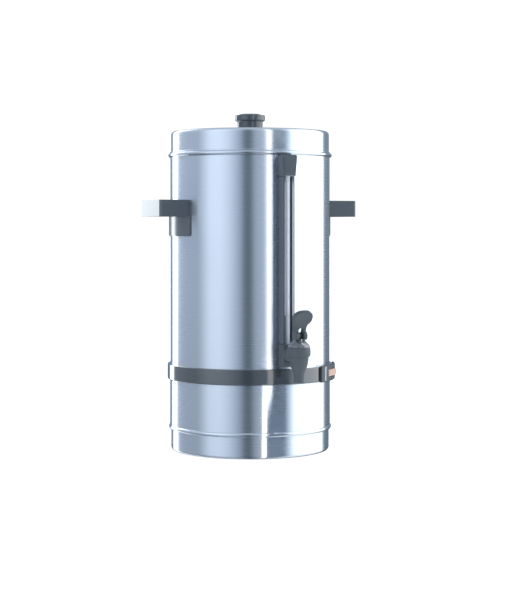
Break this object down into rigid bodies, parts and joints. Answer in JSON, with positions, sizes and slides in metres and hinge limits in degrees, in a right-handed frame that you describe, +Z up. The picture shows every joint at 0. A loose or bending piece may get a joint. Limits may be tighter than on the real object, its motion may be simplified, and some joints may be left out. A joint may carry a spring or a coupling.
{
  "type": "coffee urn",
  "caption": "Tall stainless percolating coffee urn with a lift-off lid, side handles, a sight gauge and a self-closing lever tap.",
  "frame": {"origin": "middle of the foot ring's flat underside, where the urn stands on the table", "axes": "+Z up along the tank's axis; the tap and the sight gauge face -Y; the handles lie along X"},
  "size_m": [0.308, 0.3011, 0.4839],
  "materials": {
    "body_steel": "satin, brushed round the body",
    "inner_steel": "bright drawn",
    "cover_steel": "plain sheet",
    "bright_steel": "polished",
    "black_plastic": "moulded, glossy",
    "band_plastic": "high gloss",
    "switch_plastic": "moulded",
    "amber_plastic": "translucent, lit",
    "gauge_glass": "clear",
    "silicone": "soft, matt",
    "white_plastic": "moulded",
    "element_sheath": "dull",
    "cast_aluminium": "cast",
    "brass": "bright",
    "foot_rubber": "matt"
  },
  "bodies": {
    "urn": {"tank": "body_steel", "handle_left": "black_plastic", "handle_right": "black_plastic", "handle_screws": "bright_steel", "base_shell": "body_steel", "base_skirt": "body_steel", "trim_band": "band_plastic", "control_housing": "band_plastic", "switch_body": "switch_plastic", "gauge_guard": "black_plastic", "gauge_glass": "gauge_glass", "gauge_cap": "black_plastic", "gauge_cap_screw": "bright_steel", "gauge_seals": "silicone", "tap_shank": "black_plastic", "tap_gaskets": "silicone", "tap_nut": "white_plastic", "tap_body": "black_plastic", "tap_bonnet": "black_plastic", "stem_spring": "bright_steel", "heating_element": "element_sheath", "heater_plate": "cast_aluminium", "thermostat": "white_plastic", "thermal_cutout": "element_sheath", "terminal_block": "white_plastic", "appliance_inlet": "switch_plastic", "inlet_pins": "brass", "bottom_cover": "cover_steel", "cover_screws": "bright_steel", "foot_ring": "foot_rubber"},
    "lid": {"lid": "body_steel", "lid_knob": "black_plastic", "lid_knob_screw": "bright_steel"},
    "pump": {"pump_stem": "inner_steel", "pump_foot": "inner_steel"},
    "basket": {"coffee_basket": "inner_steel"},
    "spreader": {"basket_spreader": "inner_steel"},
    "valve": {"valve_stem": "switch_plastic", "seat_cup": "silicone", "lever_pin": "bright_steel"},
    "lever": {"tap_lever": "black_plastic"},
    "rocker": {"rocker_switch": "amber_plastic"}
  },
  "joints": [
    {"name": "lid_lift", "type": "slide", "parent": "urn", "child": "lid", "axis": [0, 0, 1], "range_m": [0, 0.45]},
    {"name": "pump_lift", "type": "slide", "parent": "urn", "child": "pump", "axis": [0, 0, 1], "range_m": [0, 0.18]},
    {"name": "basket_lift", "type": "slide", "parent": "pump", "child": "basket", "axis": [0, 0, 1], "range_m": [0, 0.09]},
    {"name": "spreader_lift", "type": "slide", "parent": "basket", "child": "spreader", "axis": [0, 0, 1], "range_m": [0, 0.09]},
    {"name": "valve_lift", "type": "slide", "parent": "urn", "child": "valve", "axis": [0, 0, 1], "range_m": [0, 0.00299], "stiffness_N_per_m": 1500, "springref_m": -0.006, "deforming": ["stem_spring"]},
    {"name": "lever_pull", "type": "hinge", "parent": "valve", "child": "lever", "pos_m": [0, -0.1596, 0.1738], "axis": [1, 0, 0], "range_deg": [0, 35]},
    {"name": "rocker_press", "type": "hinge", "parent": "urn", "child": "rocker", "pos_m": [0.08792, -0.07643, 0.1141], "axis": [0, 0, 1], "range_deg": [0, 12]}
  ],
  "couplings": [
    {"joint": "pump_lift", "follows": "lid_lift", "ratio": 0.4},
    {"joint": "basket_lift", "follows": "lid_lift", "ratio": 0.2},
    {"joint": "spreader_lift", "follows": "lid_lift", "ratio": 0.2},
    {"joint": "lever_pull", "follows": "valve_lift", "rad_per_m": 204.08}
  ]
}
